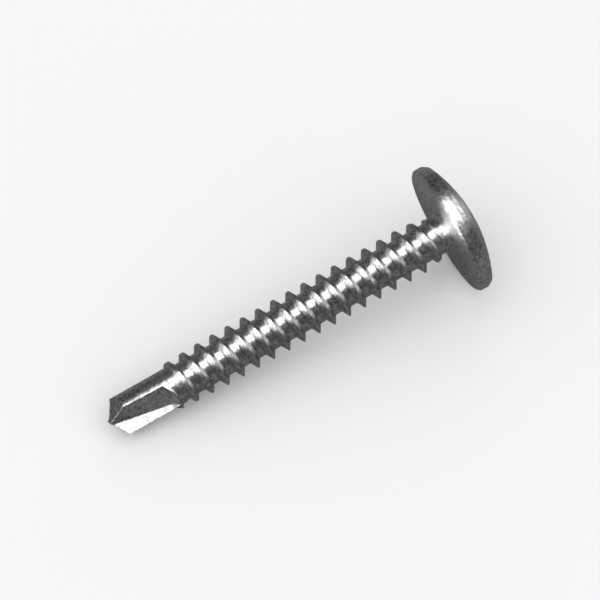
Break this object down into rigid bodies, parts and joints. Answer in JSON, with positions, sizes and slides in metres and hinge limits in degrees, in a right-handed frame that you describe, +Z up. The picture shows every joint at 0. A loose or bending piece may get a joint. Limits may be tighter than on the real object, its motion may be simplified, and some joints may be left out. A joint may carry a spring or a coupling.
{
  "type": "self drilling screw",
  "caption": "Self-drilling steel screw with a wide low domed head, cross recess, right-hand thread and fluted drill point.",
  "frame": {"origin": "on the surface that the screw lies on, under the middle of its length", "axes": "+X from the drill point towards the head, +Z up; the screw's own axis rises towards the head by the lying angle"},
  "size_m": [0.0336, 0.011, 0.011],
  "materials": {
    "steel": "bright zinc plated, lightly mottled"
  },
  "bodies": {
    "root": {"screw": "steel"}
  },
  "joints": []
}
